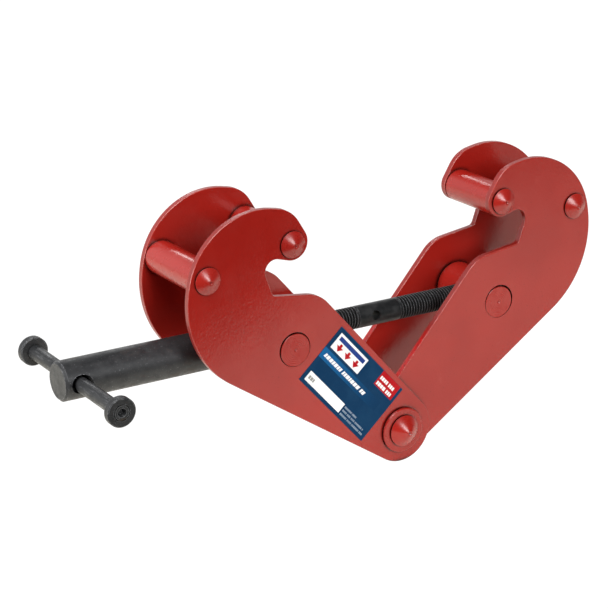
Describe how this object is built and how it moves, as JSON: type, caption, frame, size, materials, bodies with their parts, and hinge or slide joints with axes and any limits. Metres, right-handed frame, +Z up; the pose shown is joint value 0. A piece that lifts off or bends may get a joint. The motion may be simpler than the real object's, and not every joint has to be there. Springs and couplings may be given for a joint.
{
  "type": "beam clamp",
  "caption": "Screw beam clamp: hooked jaw plates on a suspension pin, drawn onto a beam flange by a left-and-right-hand spindle with trunnion nuts and a sliding tommy bar.",
  "frame": {"origin": "centre of the suspension pin, midway between the plates", "axes": "+X along the spindle, away from its handle; +Y along the pins, towards the rear plates; +Z up, from the suspension pin towards the jaws"},
  "size_m": [0.3615, 0.1148, 0.1766],
  "materials": {
    "red_paint": "gloss",
    "oxide_steel": "dark oxide, satin",
    "thread_steel": "black oxide, oily",
    "label_film": "gloss printed film"
  },
  "bodies": {
    "pivot": {"suspension_pin": "red_paint", "pivot_washer_front": "red_paint", "pivot_washer_rear": "red_paint"},
    "left_jaw": {"outer_plate_front": "red_paint", "outer_plate_rear": "red_paint", "left_tip_pin": "red_paint", "left_back_pin": "red_paint", "rating_label": "label_film"},
    "right_jaw": {"inner_plate_front": "red_paint", "inner_plate_rear": "red_paint", "right_tip_pin": "red_paint", "right_back_pin": "red_paint"},
    "left_nut": {"left_trunnion_nut": "red_paint"},
    "right_nut": {"right_trunnion_nut": "red_paint"},
    "stop_washer": {"end_stop_washer": "oxide_steel"},
    "spindle": {"spindle_screw": "thread_steel", "spindle_barrel": "oxide_steel", "end_stop_ring": "oxide_steel"},
    "tommy_bar": {"tommy_bar": "oxide_steel", "tommy_bar_collar_front": "oxide_steel", "tommy_bar_collar_rear": "oxide_steel"}
  },
  "joints": [
    {"name": "left_jaw_swing", "type": "hinge", "parent": "pivot", "child": "left_jaw", "pos_m": [0, 0, 0], "axis": [0, 1, 0], "range_deg": [-10, 25]},
    {"name": "right_jaw_swing", "type": "hinge", "parent": "pivot", "child": "right_jaw", "pos_m": [0, 0, 0], "axis": [0, 1, 0], "range_deg": [-25, 10]},
    {"name": "left_nut_turn", "type": "hinge", "parent": "left_jaw", "child": "left_nut", "pos_m": [-0.07585, 0, 0.06665], "axis": [0, 1, 0], "range_deg": [-25, 10]},
    {"name": "right_nut_turn", "type": "hinge", "parent": "right_jaw", "child": "right_nut", "pos_m": [0.07585, 0, 0.06665], "axis": [0, 1, 0], "range_deg": [-10, 25]},
    {"name": "spindle_travel", "type": "slide", "parent": "left_nut", "child": "stop_washer", "axis": [1, 0, 0], "range_m": [-0.03287, 0.01315]},
    {"name": "spindle_turn", "type": "hinge", "parent": "stop_washer", "child": "spindle", "pos_m": [0, 0, 0.06665], "axis": [1, 0, 0], "range_deg": [-2367, 5916]},
    {"name": "tommy_bar_slide", "type": "slide", "parent": "spindle", "child": "tommy_bar", "axis": [0, 0.9999, 0.0157], "range_m": [-0.038, 0.042]}
  ],
  "couplings": [
    {"joint": "right_jaw_swing", "follows": "left_jaw_swing", "ratio": -1},
    {"joint": "left_nut_turn", "follows": "left_jaw_swing", "ratio": -1},
    {"joint": "right_nut_turn", "follows": "left_jaw_swing", "ratio": 1},
    {"joint": "spindle_travel", "follows": "left_jaw_swing", "m_per_rad": -0.0753},
    {"joint": "spindle_turn", "follows": "left_jaw_swing", "ratio": 236.56}
  ]
}
